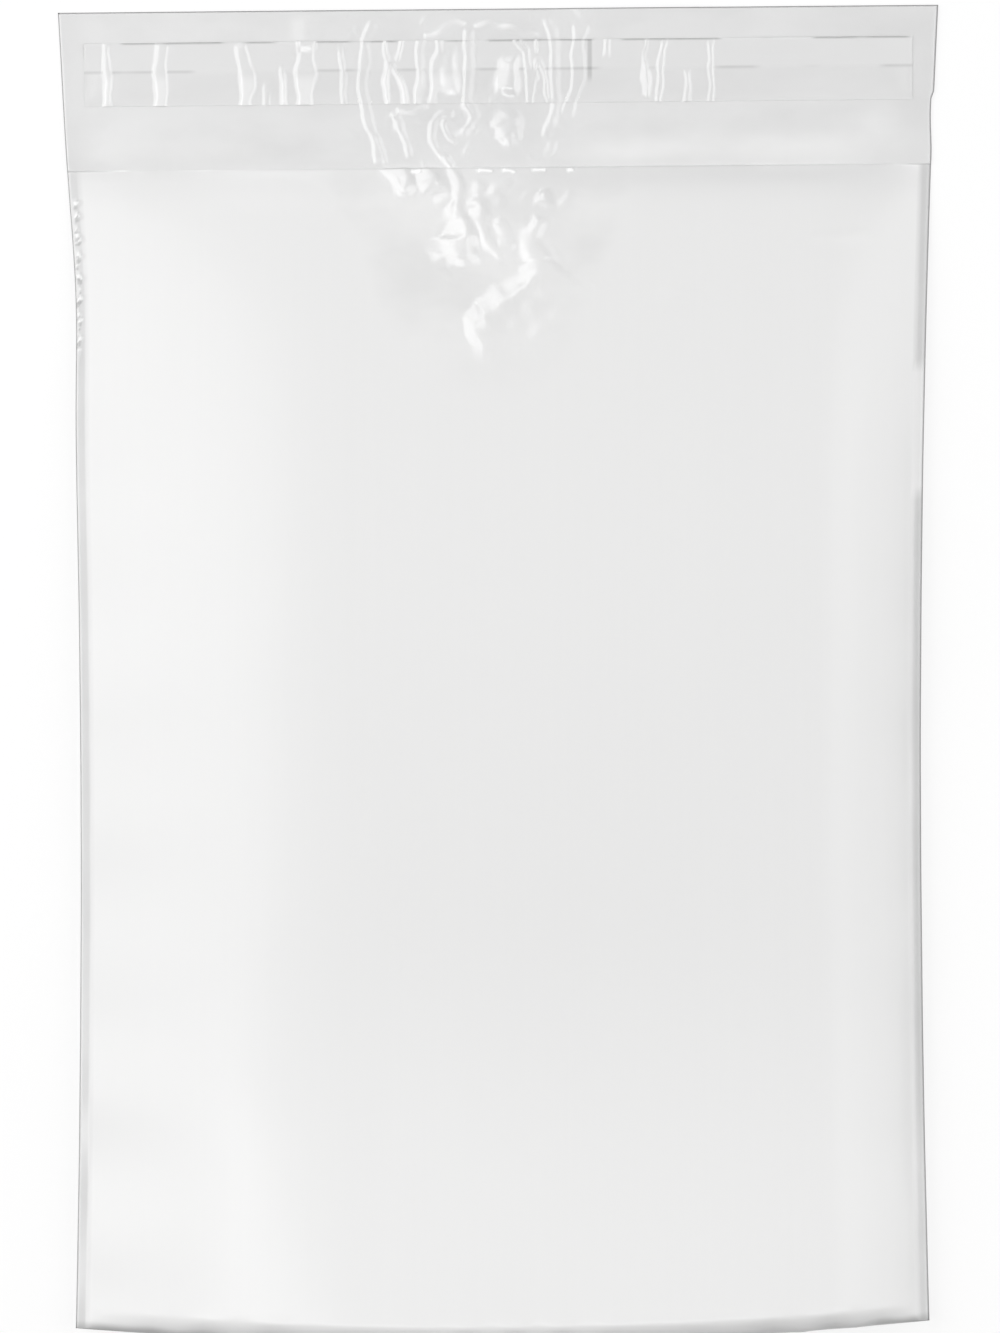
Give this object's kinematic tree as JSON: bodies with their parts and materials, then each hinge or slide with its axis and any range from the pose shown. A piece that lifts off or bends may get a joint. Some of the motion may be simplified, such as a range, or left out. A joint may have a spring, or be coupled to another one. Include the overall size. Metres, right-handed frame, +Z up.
{
  "type": "poly mailer bag",
  "caption": "Filled milky film mailer lying on its back, with welded sides, a folded bottom and an open flap whose adhesive is still under its peel-off liner.",
  "frame": {"origin": "on the surface that the bag lies on, at the middle of its width and of its length with the flap open", "axes": "+X across the bag, +Y from the bottom fold to the flap's free edge, +Z up through the front of the bag"},
  "size_m": [0.254, 0.3844, 0.02],
  "materials": {
    "film": "milky translucent polyethylene film, soft gloss",
    "adhesive": "pressure-sensitive adhesive, tacky satin",
    "liner": "thin clear-white release film, glossy"
  },
  "bodies": {
    "root": {"mailer_bag": "film", "adhesive_strip": "adhesive", "release_liner": "liner"}
  },
  "joints": []
}
